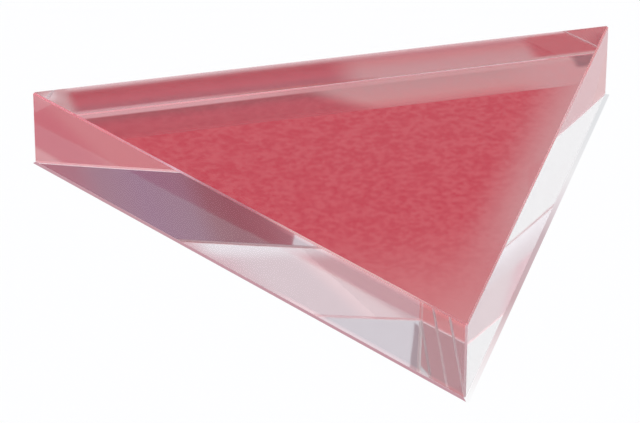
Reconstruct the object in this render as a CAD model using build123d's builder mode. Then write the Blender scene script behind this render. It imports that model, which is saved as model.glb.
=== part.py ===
"""A flat triangular optics prism, polished from one piece of clear acrylic.

The block is a right prism: its three side faces stand at right angles to its two triangular faces.
It lies on one triangular face, with the base side at the back along X and the apex at the front.
The origin is the centre of the bounding box on the lower triangular face, and +Z points up.
All sizes are in millimetres.
"""

from build123d import *
from math import radians, sin, tan
import os

# Driving dimensions
base_side = 75.0  # the back side of the triangle, measured to its sharp corners
apex_angle = 60.0  # degrees, between the two side faces that meet at the front
thickness = 10.0  # from one triangular face to the other
corner_flat = 0.3  # width of the narrow upright flat that blunts each corner
edge_bevel = 0.2  # leg of the 45 degree bevel round each triangular face

# The triangle, with its sharp corners still on
base_angle = (180.0 - apex_angle) / 2
sharp_depth = base_side / 2 / tan(radians(apex_angle / 2))


def corner_cut(corner_angle):
    """Length to take off each side at a corner, so that the flat across it is corner_flat wide."""
    return corner_flat / 2 / sin(radians(corner_angle / 2))


# The flat takes a little off the apex, and the block is centred on what is left
apex_loss = corner_flat / 2 / tan(radians(apex_angle / 2))
overall_depth = sharp_depth - apex_loss
back_y = overall_depth / 2
apex_y = back_y - sharp_depth

with BuildPart() as prism:
    with BuildSketch(Plane.XY):
        with BuildLine():
            Polyline(
                (-base_side / 2, back_y),
                (0, apex_y),
                (base_side / 2, back_y),
                close=True,
            )
        triangle = make_face()
        apex = triangle.vertices().sort_by(Axis.Y)[0]
        back_corners = triangle.vertices().sort_by(Axis.Y)[1:]
        chamfer(back_corners, length=corner_cut(base_angle))
        chamfer(apex, length=corner_cut(apex_angle))
    extrude(amount=thickness)
    triangular_faces = prism.faces().filter_by(Axis.Z)
    chamfer(triangular_faces.edges(), length=edge_bevel)

prism.part.label = "prism"

os.makedirs("parts", exist_ok=True)
export_step(prism.part, "parts/prism.step")

size = prism.part.bounding_box().size
print(f"prism {size.X:.2f} x {size.Y:.2f} x {size.Z:.2f} mm, {prism.part.volume / 1000:.2f} cm3")
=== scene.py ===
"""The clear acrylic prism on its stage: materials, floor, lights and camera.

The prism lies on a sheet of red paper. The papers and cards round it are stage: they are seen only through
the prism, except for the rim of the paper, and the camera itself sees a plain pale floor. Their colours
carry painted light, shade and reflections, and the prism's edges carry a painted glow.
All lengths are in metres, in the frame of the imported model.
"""

from math import cos, radians, sin, sqrt, tan

import bmesh
import bpy
from mathutils import Matrix, Vector


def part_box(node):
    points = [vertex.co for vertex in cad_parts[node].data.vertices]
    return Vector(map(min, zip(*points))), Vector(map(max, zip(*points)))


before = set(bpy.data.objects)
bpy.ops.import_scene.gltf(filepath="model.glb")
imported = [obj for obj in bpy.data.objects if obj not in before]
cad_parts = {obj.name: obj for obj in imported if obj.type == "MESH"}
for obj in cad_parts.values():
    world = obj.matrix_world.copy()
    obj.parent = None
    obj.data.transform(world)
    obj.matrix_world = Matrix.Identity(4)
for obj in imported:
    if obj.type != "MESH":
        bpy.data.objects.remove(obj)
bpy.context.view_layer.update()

# ---------------------------------------------------------------- the block's own sizes

block_low, block_high = (Vector(corner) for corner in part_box("prism"))
thickness = block_high.z - block_low.z
back_y = block_high.y
edge_bevel = 0.0002
corner_flat = 0.0003
side_length = block_high.x - block_low.x + corner_flat  # to the sharp corners
sharp_depth = side_length * sqrt(3) / 2
apex_y = back_y - sharp_depth
centroid_y = back_y - sharp_depth / 3
inradius = sharp_depth / 3
half = side_length / 2
out_back = Vector((0.0, 1.0, 0.0))
out_left = Vector((-sqrt(3) / 2, -0.5, 0.0))
out_right = Vector((sqrt(3) / 2, -0.5, 0.0))

# ---------------------------------------------------------------- node helpers


class Nodes:
    """Adds nodes to a tree and links them, so that a material reads from top to bottom."""

    def __init__(self, tree):
        self.tree = tree

    def add(self, kind, **settings):
        node = self.tree.nodes.new("ShaderNode" + kind)
        for name, value in settings.items():
            setattr(node, name, value)
        return node

    def put(self, node, **inputs):
        """Sets or links inputs by name, with _ for a space."""
        for name, value in inputs.items():
            self.feed(node.inputs[name.replace("_", " ")], value)
        return node

    def feed(self, socket, value):
        if isinstance(value, bpy.types.NodeSocket):
            self.tree.links.new(value, socket)
        else:
            socket.default_value = value

    def math(self, operation, a, b=0.0, c=0.0):
        node = self.add("Math", operation=operation)
        for socket, value in zip(node.inputs, (a, b, c)):
            self.feed(socket, value)
        return node.outputs[0]

    def ramp(self, value, low, high, to_low=0.0, to_high=1.0, smooth=True):
        """A value rescaled from one span to another, held at both ends."""
        node = self.add("MapRange", interpolation_type="SMOOTHSTEP" if smooth else "LINEAR")
        for socket, number in zip(node.inputs, (value, low, high, to_low, to_high)):
            self.feed(socket, number)
        return node.outputs[0]

    def mix(self, share, a, b):
        """One colour turning into another."""
        node = self.add("Mix", data_type="RGBA")
        self.feed(node.inputs["Factor"], share)
        for socket, value in zip((s for s in node.inputs if s.type == "RGBA"), (a, b)):
            self.feed(socket, (*value, 1.0) if isinstance(value, tuple) else value)
        return next(s for s in node.outputs if s.type == "RGBA")

    def shades(self, value, *stops):
        """A colour that runs through stops of (place, colour), with places in the value's own units."""
        low, high = stops[0][0], stops[-1][0]
        node = self.add("ValToRGB")
        self.feed(node.inputs[0], self.ramp(value, low, high, smooth=False))
        points = node.color_ramp.elements
        while len(points) < len(stops):
            points.new(0.5)
        for point, (place, colour) in zip(points, stops):
            point.position = (place - low) / (high - low)
            point.color = (*colour, 1.0)
        return node.outputs["Color"]

    def along(self, point, direction):
        """How far a point lies along a direction."""
        node = self.add("VectorMath", operation="DOT_PRODUCT")
        self.feed(node.inputs[0], point)
        self.feed(node.inputs[1], direction)
        return node.outputs["Value"]

    def mask(self, group, point):
        """The mask that a node group gives at a point."""
        node = self.tree.nodes.new("ShaderNodeGroup")
        node.node_tree = group
        self.feed(node.inputs["Point"], point)
        return node.outputs["Mask"]

    def noise(self, point, scale, detail):
        node = self.add("TexNoise")
        self.put(node, Vector=point, Scale=scale, Detail=detail)
        return node.outputs[0]

    def place(self):
        """Where a point lies on its object: a vector in metres, then x and y in millimetres."""
        point = self.add("TexCoord").outputs["Object"]
        return point, self.along(point, (1000, 0, 0)), self.along(point, (0, 1000, 0))

    def facing(self, direction):
        """Whether a face is turned along a direction, as seen from its visible side."""
        normal = self.add("NewGeometry").outputs["True Normal"]
        return self.math("GREATER_THAN", self.along(normal, direction), 0.0)


def new_material(name, kind):
    """A material of one shader, and the helper that fills it."""
    material = bpy.data.materials.new(name)
    material.use_nodes = True
    material.node_tree.nodes.clear()
    nodes = Nodes(material.node_tree)
    shader = nodes.add(kind)
    nodes.put(nodes.add("OutputMaterial"), Surface=shader.outputs[0])
    return material, nodes, shader


# ---------------------------------------------------------------- clear acrylic


hair = 0.00001  # slack in telling one face from the next
beside = 0.0006  # how near an edge still counts as along it


def clear_acrylic():
    """Cast acrylic with polished faces, ground edges and faint marks of handling; painted pink and glow on
    the edges.
    """
    material, nodes, shader = new_material("clear_acrylic", "BsdfPrincipled")
    point, x, y = nodes.place()

    # Distance from the nearest side face and from the nearer triangular face, both 0 or less
    centred = nodes.add("VectorMath", operation="SUBTRACT")
    nodes.feed(centred.inputs[0], point)
    nodes.feed(centred.inputs[1], (0.0, centroid_y, thickness / 2))
    centred = centred.outputs[0]
    to_back, to_left, to_right = (nodes.along(centred, out) for out in (out_back, out_left, out_right))
    sideways = nodes.math("MAXIMUM", nodes.math("MAXIMUM", to_left, to_right), to_back)
    sideways = nodes.math("SUBTRACT", sideways, inradius)
    height = nodes.along(centred, (0.0, 0.0, 1.0))
    upright = nodes.math("SUBTRACT", nodes.math("ABSOLUTE", height), thickness / 2)
    # The three blunted corners are farthest from the middle, opposite each side face
    nearest = nodes.math("MINIMUM", nodes.math("MINIMUM", to_left, to_right), to_back)
    corner = nodes.math("MULTIPLY", nearest, -1.0)
    flat_reach = 2 * inradius - corner_flat / 2 * sqrt(3)
    on_flat = nodes.math("GREATER_THAN", corner, flat_reach - 2 * hair)
    inner = nodes.math("MINIMUM", sideways, upright)
    on_bevel = nodes.ramp(inner, -edge_bevel - hair, -edge_bevel + 3 * hair)
    ground = nodes.math("MAXIMUM", on_flat, on_bevel)

    # Smears of handling, and a fine haze of wear beside the edges
    smear = nodes.ramp(nodes.noise(centred, 60.0, 4.0), 0.45, 0.75)
    beside_edge = nodes.ramp(inner, -0.0016, -edge_bevel)
    speck = nodes.ramp(nodes.noise(centred, 2600.0, 2.0), 0.55, 0.8)
    wear = nodes.math("MULTIPLY", beside_edge, speck)
    polished = nodes.math("MULTIPLY_ADD", smear, 0.018, 0.012)
    polished = nodes.math("MULTIPLY_ADD", wear, 0.06, polished)
    rough = nodes.math("MULTIPLY_ADD", ground, 0.42, polished)

    # Ground edges get a painted pink reflection of the red paper, stronger on light that meets them from
    # inside
    inside = nodes.add("NewGeometry").outputs["Backfacing"]
    edge_painted_pink = nodes.mix(inside, (1.0, 0.64, 0.68), (0.82, 0.50, 0.53))
    tint_and_painted_pink = nodes.mix(ground, (0.985, 0.978, 0.98), edge_painted_pink)

    # Painted glow on the upper edges of the two front sides, uneven along the left one
    left_glow = nodes.shades(
        y,
        (-32.0, (0.30, 0.02, 0.03)),
        (-28.0, (0.34, 0.07, 0.08)),
        (-24.0, (0.50, 0.25, 0.25)),
        (-10.0, (0.55, 0.29, 0.29)),
        (-5.5, (0.40, 0.17, 0.18)),
        (-2.0, (0.22, 0.02, 0.05)),
        (5.0, (0.24, 0.03, 0.06)),
        (9.5, (0.46, 0.22, 0.29)),
        (13.0, (0.40, 0.08, 0.12)),
        (20.0, (0.40, 0.05, 0.08)),
    )
    near_left = nodes.math("GREATER_THAN", to_left, inradius - beside)
    near_right = nodes.math("GREATER_THAN", to_right, inradius - beside)
    near_top = nodes.math("GREATER_THAN", height, thickness / 2 - beside)
    upper = nodes.math("MULTIPLY", near_top, nodes.math("MAXIMUM", near_left, near_right))
    # Towards the front corner the painted glow spreads a little way down the left face
    below_edge = nodes.ramp(upright, -0.0009, -0.0003)
    spread = nodes.math("MULTIPLY", below_edge, nodes.ramp(y, -4.0, -9.0, 0.0, 0.3))
    on_left = nodes.math("GREATER_THAN", to_left, inradius - 5 * hair)
    spread = nodes.math("MULTIPLY", spread, on_left)
    glow = nodes.math("MAXIMUM", nodes.math("MULTIPLY", on_bevel, upper), spread)
    glow = nodes.math("MULTIPLY", glow, nodes.math("SUBTRACT", 1.0, inside))
    glow = nodes.mix(glow, (0.0, 0.0, 0.0), nodes.mix(near_left, (0.27, 0.08, 0.08), left_glow))
    # Painted glow on the lower edge at the back, a pale line seen through the top, strongest to the left
    near_back = nodes.math("GREATER_THAN", to_back, inradius - beside / 2)
    rear = nodes.math("MULTIPLY", near_back, nodes.math("LESS_THAN", height, 0.0))
    rear = nodes.math("MULTIPLY", nodes.math("MULTIPLY", rear, on_bevel), inside)
    rear_glow = nodes.mix(nodes.ramp(x, -8.0, 2.0), (0.27, 0.13, 0.14), (0.11, 0.05, 0.06))
    glow = nodes.mix(rear, glow, rear_glow)
    ripple = nodes.add("Bump")
    nodes.put(ripple, Strength=0.02, Distance=0.0002, Height=nodes.noise(centred, 90.0, 1.0))
    nodes.put(
        shader,
        Base_Color=tint_and_painted_pink,
        Roughness=rough,
        Normal=ripple.outputs[0],
        Emission_Color=glow,
        Emission_Strength=1.0,
        IOR=1.49,
        Transmission_Weight=1.0,
        Metallic=0.0,
    )
    material.cycles.emission_sampling = "NONE"
    return material


prism = bpy.data.objects["prism"]
prism.data.materials.clear()
prism.data.materials.append(clear_acrylic())
# The floor and the paper are lit as if the block weren't there, so it throws no shadow on them
prism.visible_shadow = False
prism.visible_diffuse = False

# ---------------------------------------------------------------- stage


floor_z = -0.0003
paper_z = -0.0001
floor_reach = 3.0
paper_end = 0.0252  # the plain paper stops here, and the pleats carry on to the back face
paper_end_half = (paper_end - apex_y) / sqrt(3)
behind_depth = 0.0165
strip_width = 0.02
cards_x = 0.045  # the upright cards to the right of the block
bar_y = 0.06  # the upright bar behind it
bar_left = -0.02
bar_right = 0.07
bar_height = 0.012
corner_x = 0.0295  # the steep pleats start here
fine_pitch = 0.0002
fine_slope = radians(50)
steep_pitch = 0.0001
steep_slope = radians(74)
steep_turn = radians(57)
steep_start = 0.0423  # from the origin to the near ends of the steep ridges, along them
steep_left = 0.025  # from there to the first of them, across
steep_length = 0.021
steep_width = 0.0218


def stage_panel(name, corners, material):
    """A flat stage panel with the given corners."""
    mesh = bmesh.new()
    mesh.faces.new([mesh.verts.new(corner) for corner in corners])
    return stage_object(name, mesh, material)


def stage_object(name, mesh, material):
    """A stage object from a finished mesh."""
    data = bpy.data.meshes.new(name)
    mesh.to_mesh(data)
    mesh.free()
    data.materials.append(material)
    panel = bpy.data.objects.new(name, data)
    bpy.context.scene.collection.objects.link(panel)
    return panel


def only_seen_through(panel):
    """The camera sees the floor behind this panel, which shows only through the block and lights nothing."""
    panel.visible_camera = False
    panel.visible_diffuse = False
    panel.visible_shadow = False
    panel.visible_glossy = False


def pale_floor():
    """A plain matt floor, nearly white."""
    material, nodes, shader = new_material("pale_floor", "BsdfPrincipled")
    nodes.put(shader, Base_Color=(0.93, 0.93, 0.93, 1.0), Roughness=0.9, Specular_IOR_Level=0.0)
    return material


def matt(name, colour_of):
    """Matt paper, whose colour is made from where a point lies on it, in millimetres."""
    material, nodes, shader = new_material(name, "BsdfPrincipled")
    colour = colour_of(nodes, *nodes.place())
    nodes.put(shader, Base_Color=colour, Roughness=0.85, Specular_IOR_Level=0.0)
    return material


def glowing(name, colour_of):
    """A card with light of its own, whose colour is made in the same way."""
    material, nodes, light = new_material(name, "Emission")
    nodes.put(light, Color=colour_of(nodes, *nodes.place()), Strength=1.0)
    return material


def plain(colour):
    """One colour all over."""
    return lambda nodes, point, x, y: (*colour, 1.0)


def fibre_group():
    """Fine fibres of rough red paper: a mask from 0 to 1 that changes from place to place."""
    tree = bpy.data.node_groups.new("paper_fibre", "ShaderNodeTree")
    tree.interface.new_socket("Point", in_out="INPUT", socket_type="NodeSocketVector")
    tree.interface.new_socket("Mask", in_out="OUTPUT", socket_type="NodeSocketFloat")
    nodes = Nodes(tree)
    point = tree.nodes.new("NodeGroupInput").outputs["Point"]
    coarse = nodes.math("MULTIPLY", nodes.noise(point, 380.0, 1.0), 0.6)
    mottle = nodes.math("ADD", nodes.noise(point, 1100.0, 2.0), coarse)
    tree.links.new(nodes.ramp(mottle, 0.62, 0.98), tree.nodes.new("NodeGroupOutput").inputs["Mask"])
    return tree


paper_fibre = fibre_group()


def paper_shades(nodes, point, x, y):
    """Red paper, with painted light making it paler towards the front corner and along the right edge."""
    red = nodes.mix(nodes.mask(paper_fibre, point), (0.540, 0.014, 0.042), (0.590, 0.054, 0.080))
    # Painted light: paler towards the front corner, and below, along the right edge
    red = nodes.mix(nodes.ramp(y, 0.0, -32.0), red, (0.63, 0.20, 0.21))
    to_right = nodes.math("MULTIPLY_ADD", x, sqrt(3) / 2, nodes.math("MULTIPLY", y, -0.5))
    edge = inradius * 1000 - centroid_y * 500
    rightmost = nodes.ramp(to_right, edge - 8.5, edge + 0.5)
    rightmost = nodes.math("MULTIPLY", rightmost, nodes.ramp(y, -20.0, 0.0, 0.3))
    return nodes.mix(rightmost, red, (0.60, 0.27, 0.28))


def band_shades(nodes, point, x, y):
    """The pleats under the back of the block, seen from both sides: painted shade in a dark band, a painted
    pool of light, a painted lit line and a painted dark spot.
    """
    # Sides that face the front
    dark = nodes.shades(
        y,
        (25.0, (0.530, 0.045, 0.070)),
        (26.4, (0.450, 0.020, 0.042)),
        (28.6, (0.462, 0.026, 0.050)),
        (29.6, (0.415, 0.022, 0.045)),
        (30.8, (0.330, 0.028, 0.045)),
    )
    pale = nodes.shades(
        y,
        (25.0, (0.560, 0.110, 0.130)),
        (26.5, (0.600, 0.180, 0.187)),
        (27.6, (0.590, 0.225, 0.228)),
        (29.5, (0.545, 0.230, 0.236)),
        (31.0, (0.510, 0.225, 0.230)),
    )
    pale = nodes.mix(nodes.ramp(x, 22.0, 29.0), pale, (0.590, 0.255, 0.265))
    pool = nodes.ramp(nodes.math("MULTIPLY_ADD", y, 0.95, x), 25.4, 31.0)
    forward = nodes.mix(pool, dark, pale)
    # A painted lit line along the back edge
    line = nodes.shades(
        x,
        (-14.0, (0.670, 0.310, 0.335)),
        (-3.0, (0.590, 0.230, 0.245)),
        (8.0, (0.600, 0.280, 0.285)),
    )
    forward = nodes.mix(nodes.ramp(y, 31.1, 31.65), forward, line)
    # A painted dark spot near the right end
    painted_dark_spot = nodes.math("MULTIPLY", nodes.ramp(x, 32.0, 33.2), nodes.ramp(y, 29.0, 30.2))
    forward = nodes.mix(painted_dark_spot, forward, (0.27, 0.070, 0.090))
    # Sides that face the back
    dark = nodes.shades(
        y,
        (25.3, (0.880, 0.600, 0.620)),
        (25.9, (0.620, 0.300, 0.320)),
        (26.5, (0.470, 0.060, 0.080)),
        (27.2, (0.480, 0.024, 0.046)),
        (29.4, (0.530, 0.054, 0.085)),
        (30.8, (0.430, 0.068, 0.096)),
    )
    pale = nodes.shades(
        y,
        (25.3, (0.880, 0.600, 0.620)),
        (26.0, (0.640, 0.280, 0.300)),
        (26.6, (0.570, 0.165, 0.185)),
        (27.5, (0.633, 0.186, 0.198)),
        (29.5, (0.610, 0.254, 0.266)),
        (31.0, (0.621, 0.282, 0.294)),
    )
    backward = nodes.mix(nodes.ramp(x, 0.8, 6.2), dark, pale)
    right_end = nodes.math("MULTIPLY", nodes.ramp(x, 27.0, 29.2), nodes.ramp(y, 25.5, 26.3))
    backward = nodes.mix(right_end, backward, (0.530, 0.050, 0.072))
    backward = nodes.mix(nodes.ramp(x, -31.0, -32.8), backward, (0.633, 0.328, 0.339))
    left_tip = nodes.math("MULTIPLY", nodes.ramp(x, -32.6, -34.4), nodes.ramp(y, 29.0, 26.5))
    backward = nodes.mix(left_tip, backward, (0.850, 0.640, 0.660))
    # The painted lit line along the back edge, on the sides that face the back
    line = nodes.shades(
        x,
        (-18.0, (0.660, 0.300, 0.330)),
        (-6.0, (0.520, 0.120, 0.125)),
        (2.0, (0.490, 0.080, 0.095)),
        (8.0, (0.600, 0.280, 0.285)),
    )
    backward = nodes.mix(nodes.ramp(y, 31.0, 31.6), backward, line)
    colour = nodes.mix(nodes.facing(out_back), forward, backward)
    fibres = nodes.math("MULTIPLY", nodes.mask(paper_fibre, point), 0.10)
    return nodes.mix(fibres, colour, (0.80, 0.15, 0.17))


def left_sides(nodes, x, y):
    """Left sides of the pleats: red to pale pink, darker by the right corner and pale at the far end."""
    slantwise = nodes.math("MULTIPLY_ADD", y, 1.2, x)
    colour = nodes.mix(nodes.ramp(x, -25.0, -19.0), (0.55, 0.105, 0.14), (0.595, 0.167, 0.190))
    colour = nodes.mix(nodes.ramp(slantwise, 9.0, 6.6), colour, (0.64, 0.245, 0.265))
    colour = nodes.mix(nodes.ramp(x, -8.0, 4.0), colour, (0.64, 0.38, 0.42))
    colour = nodes.mix(nodes.ramp(x, 7.0, 17.0), colour, (0.67, 0.53, 0.56))
    band = nodes.shades(
        slantwise,
        (72.4, (0.800, 0.590, 0.610)),
        (73.6, (0.770, 0.530, 0.550)),
        (74.4, (0.690, 0.425, 0.450)),
        (75.4, (0.610, 0.370, 0.400)),
    )
    colour = nodes.mix(nodes.ramp(x, 25.0, 29.0), colour, band)
    far = nodes.math("MULTIPLY", nodes.ramp(y, 37.7, 39.2), nodes.ramp(x, 6.0, 12.0))
    return nodes.mix(far, colour, (0.80, 0.73, 0.76))


def pleat_shades(nodes, point, x, y):
    """The pleats behind: their right sides go from pale pink to red."""
    right_side = nodes.mix(nodes.ramp(x, -17.0, -9.0), (0.63, 0.45, 0.48), (0.63, 0.28, 0.34))
    right_side = nodes.mix(nodes.ramp(y, 39.0, 41.0), right_side, (0.66, 0.53, 0.57))
    right_side = nodes.mix(nodes.ramp(y, 41.0, 45.0), right_side, (0.86, 0.79, 0.84))
    right_side = nodes.mix(nodes.ramp(x, -2.0, 8.0), right_side, (0.56, 0.195, 0.225))
    return nodes.mix(nodes.facing((1.0, 0.0, 0.0)), left_sides(nodes, x, y), right_side)


def corner_shades(nodes, point, x, y):
    """The slanting pleats by the right corner: plain red on the sides that face the front."""
    return nodes.mix(nodes.facing(steep_across), left_sides(nodes, x, y), (0.590, 0.185, 0.197))


def plum_shades(nodes, point, x, y):
    """Dark red-brown low at the near end, plum in the middle and redder at the far end."""
    z = nodes.along(point, (0, 0, 1000))
    along = nodes.math("MULTIPLY_ADD", y, 0.8, nodes.math("MULTIPLY", z, 0.6))
    return nodes.shades(
        along,
        (54.0, (0.36, 0.120, 0.160)),
        (60.0, (0.27, 0.045, 0.075)),
        (64.0, (0.235, 0.028, 0.058)),
        (68.0, (0.235, 0.045, 0.078)),
        (72.0, (0.255, 0.095, 0.165)),
        (80.0, (0.260, 0.095, 0.188)),
        (88.0, (0.290, 0.100, 0.165)),
        (92.0, (0.340, 0.075, 0.130)),
        (96.0, (0.360, 0.060, 0.110)),
    )


def bar_shades(nodes, point, x, y):
    """Rose to the left and plum to the right."""
    return nodes.mix(nodes.ramp(x, 17.0, 22.0), (0.42, 0.11, 0.16), (0.15, 0.02, 0.04))


def rim_shades(nodes, point, x, y):
    """Painted reflection of the red paper in the block's lower edges: pink along the left, and along the
    right fading out towards both ends.
    """
    right = nodes.shades(
        y,
        (-32.0, (0.90, 0.90, 0.90)),
        (-23.0, (0.80, 0.70, 0.71)),
        (-13.0, (0.56, 0.39, 0.41)),
        (0.0, (0.56, 0.43, 0.455)),
        (8.0, (0.74, 0.67, 0.69)),
        (13.0, (0.80, 0.785, 0.79)),
        (26.0, (0.72, 0.725, 0.735)),
    )
    return nodes.mix(nodes.math("GREATER_THAN", x, 0.0), (0.51, 0.29, 0.33), right)


def paper_rim(under, left_width, right_width):
    """The cut edge of the paper, from under the block to a hair proud of its two front sides, in painted
    reflection.
    """
    mesh = bmesh.new()

    def edge(left, right):
        """Three corners of the outline that stands this far proud on the left and on the right."""
        front = Vector(((right - left) / sqrt(3), apex_y - left - right, paper_z))
        back_left = Vector((-half, back_y, paper_z)) + out_left * left
        back_right = Vector((half, back_y, paper_z)) + out_right * right
        return [mesh.verts.new(corner) for corner in (back_left, front, back_right)]

    inner = edge(-under, -under)
    outer = edge(left_width, right_width)
    for side in (0, 1):
        mesh.faces.new([inner[side], outer[side], outer[side + 1], inner[side + 1]])
    rim = stage_object("paper_rim", mesh, matt("paper_rim", rim_shades))
    rim.visible_transmission = False
    rim.visible_glossy = False
    rim.visible_diffuse = False
    rim.visible_shadow = False


def pleats(start, ridge, across, pitch, slope):
    """Paper folded in fine pleats, which shows one side of them to each way of looking."""
    folds = 2 * round(across.length / pitch)
    drop = Vector((0.0, 0.0, pitch / 2 * tan(slope)))
    mesh = bmesh.new()
    fold = mesh.edges.new([mesh.verts.new(start), mesh.verts.new(start + ridge)])
    for step in range(folds):
        grown = bmesh.ops.extrude_edge_only(mesh, edges=[fold])["geom"]
        corners = [piece for piece in grown if isinstance(piece, bmesh.types.BMVert)]
        bmesh.ops.translate(mesh, verts=corners, vec=across / folds + (drop if step % 2 else -drop))
        fold = mesh.edges.get(corners)
    return mesh


def trim(mesh, point, outward):
    """Cuts off what lies beyond an upright plane."""
    everything = mesh.verts[:] + mesh.edges[:] + mesh.faces[:]
    bmesh.ops.bisect_plane(mesh, geom=everything, plane_co=point, plane_no=outward, clear_outer=True)


def side_card(name, outline, colour_of):
    """A card standing to the right of the block, with its outline as y and z in millimetres."""
    corners = [(cards_x, y / 1000, z / 1000) for y, z in outline]
    only_seen_through(stage_panel(name, corners, glowing(name, colour_of)))


floor_corners = ((-1, -1), (1, -1), (1, 1), (-1, 1))
stage_panel("floor", [(x * floor_reach, y * floor_reach, floor_z) for x, y in floor_corners], pale_floor())
tip = Vector((0.0, apex_y, paper_z))
paper = stage_panel(
    "paper",
    [tip, (paper_end_half, paper_end, paper_z), (-paper_end_half, paper_end, paper_z)],
    matt("red_paper", paper_shades),
)
only_seen_through(paper)
paper_rim(under=0.0004, left_width=0.00018, right_width=0.0005)

under_back = pleats(
    Vector((-half, paper_end, paper_z)),
    Vector((side_length, 0.0, 0.0)),
    Vector((0.0, back_y - paper_end, 0.0)),
    fine_pitch,
    fine_slope,
)
trim(under_back, tip, out_right)
trim(under_back, tip, out_left)
only_seen_through(stage_object("pleats_under", under_back, matt("pleats_under", band_shades)))

behind_back = pleats(
    Vector((-half, back_y, paper_z)),
    Vector((0.0, behind_depth, 0.0)),
    Vector((side_length, 0.0, 0.0)),
    fine_pitch,
    fine_slope,
)
trim(behind_back, Vector((corner_x, 0.0, 0.0)), Vector((1.0, 0.0, 0.0)))
only_seen_through(stage_object("pleats_behind", behind_back, matt("pleats_behind", pleat_shades)))

# Steeper pleats by the right corner, slanting between the two ways of looking that meet there
steep_along = Vector((sin(steep_turn), cos(steep_turn), 0.0))
steep_across = Vector((steep_along.y, -steep_along.x, 0.0))
by_corner = pleats(
    steep_along * steep_start - steep_across * steep_left + Vector((0.0, 0.0, paper_z)),
    steep_along * steep_length,
    steep_across * steep_width,
    steep_pitch,
    steep_slope,
)
trim(by_corner, Vector((corner_x, 0.0, 0.0)), Vector((-1.0, 0.0, 0.0)))
trim(by_corner, Vector((0.0, back_y, 0.0)), -out_back)
only_seen_through(stage_object("pleats_corner", by_corner, matt("pleats_corner", corner_shades)))

# The same red paper to the right of the block, for what its inside mirrors that way
strip_along = Vector((0.5, sqrt(3) / 2, 0.0)) * side_length
strip_across = out_right * strip_width
side_strip = stage_panel(
    "side_strip",
    [tip, tip + strip_across, tip + strip_across + strip_along, tip + strip_along],
    matt("plain_red_paper", plain((0.42, 0.045, 0.075))),
)
only_seen_through(side_strip)

# Glowing upright cards as painted reflections in the left side: the plum wedge, the rose strip and the dark
# upright line
side_card(
    "plum_card",
    [(47.2, 28), (61, 34), (80, 49), (87, 54.5), (87, 61), (83, 60), (59, 49), (47.2, 34.2)],
    plum_shades,
)
side_card(
    "rose_card",
    [(40.2, 5), (49.5, 13), (49.5, 24.5), (45, 20.5), (40.2, 13.5)],
    plain((0.425, 0.200, 0.225)),
)
side_card(
    "dark_edge",
    [(34.9, 6.2), (35.38, 6.2), (35.42, 13.8), (34.9, 13.8)],
    plain((0.28, 0.17, 0.20)),
)

# A low glowing bar behind, a painted reflection in the ground edges level with the floor
bar = stage_panel(
    "far_bar",
    [
        (bar_left, bar_y, 0.0),
        (bar_right, bar_y, 0.0),
        (bar_right, bar_y, bar_height),
        (bar_left, bar_y, bar_height),
    ],
    glowing("far_bar", bar_shades),
)
only_seen_through(bar)

# ---------------------------------------------------------------- light


dim_azimuth = 0.26
dim_elevation = 0.53


def studio_world():
    """Soft white light from all round, brighter overhead, and dimmer where it comes through the block."""
    world = bpy.data.worlds.new("studio")
    bpy.context.scene.world = world
    world.use_nodes = True
    world.node_tree.nodes.clear()
    nodes = Nodes(world.node_tree)
    light = nodes.add("Background")
    nodes.put(nodes.add("OutputWorld"), Surface=light.outputs[0])
    way = nodes.add("TexCoord").outputs["Generated"]
    height = nodes.along(way, (0.0, 0.0, 1.0))
    soft_light = nodes.mix(nodes.ramp(height, 0.6, 0.85), (0.86, 0.865, 0.89), (1.4, 1.4, 1.4))
    through = nodes.add("LightPath").outputs["Is Transmission Ray"]
    rightwards = nodes.ramp(nodes.along(way, (1.0, 0.0, 0.0)), -0.4, 0.0)
    dimmer_light = nodes.mix(rightwards, (0.83, 0.825, 0.84), (0.62, 0.575, 0.625))
    soft_light = nodes.mix(through, soft_light, dimmer_light)
    level = cos(dim_elevation)
    behind = nodes.along(way, (sin(dim_azimuth) * level, cos(dim_azimuth) * level, sin(dim_elevation)))
    nodes.put(light, Color=nodes.mix(nodes.ramp(behind, 0.86, 0.95), soft_light, (0.42, 0.42, 0.435)))


studio_world()

# ---------------------------------------------------------------- camera

view_azimuth = -0.26380
view_elevation = 0.53373
view_roll = 0.01213
view_distance = 0.48511
image_width = 640
image_height = 423
focal_pixels = 3954.73
aim_pixel = (368.040, 211.133)


def look():
    """The camera looks at the middle of the lower face, a little off the centre of the image."""
    away = Vector(
        (
            sin(view_azimuth) * cos(view_elevation),
            -cos(view_azimuth) * cos(view_elevation),
            sin(view_elevation),
        )
    )
    level = Vector((cos(view_azimuth), sin(view_azimuth), 0.0))
    upward = away.cross(level)
    across = cos(view_roll) * level + sin(view_roll) * upward
    upward = away.cross(across)
    turn = Matrix((across, upward, away)).transposed().to_4x4()
    camera = bpy.data.cameras.new("camera")
    camera.sensor_width = 36.0
    camera.lens = focal_pixels * camera.sensor_width / image_width
    camera.shift_x = (image_width / 2 - aim_pixel[0]) / image_width
    camera.shift_y = (aim_pixel[1] - image_height / 2) / image_width
    camera.clip_start = 0.01
    holder = bpy.data.objects.new("camera", camera)
    holder.matrix_world = Matrix.Translation(Vector((0.0, centroid_y, 0.0)) + away * view_distance) @ turn
    bpy.context.scene.collection.objects.link(holder)
    bpy.context.scene.camera = holder


look()

light_bounces = 24
scene = bpy.context.scene
scene.view_settings.view_transform = "Standard"
scene.cycles.max_bounces = light_bounces
scene.cycles.transmission_bounces = light_bounces
scene.cycles.glossy_bounces = light_bounces
scene.cycles.use_denoising = True
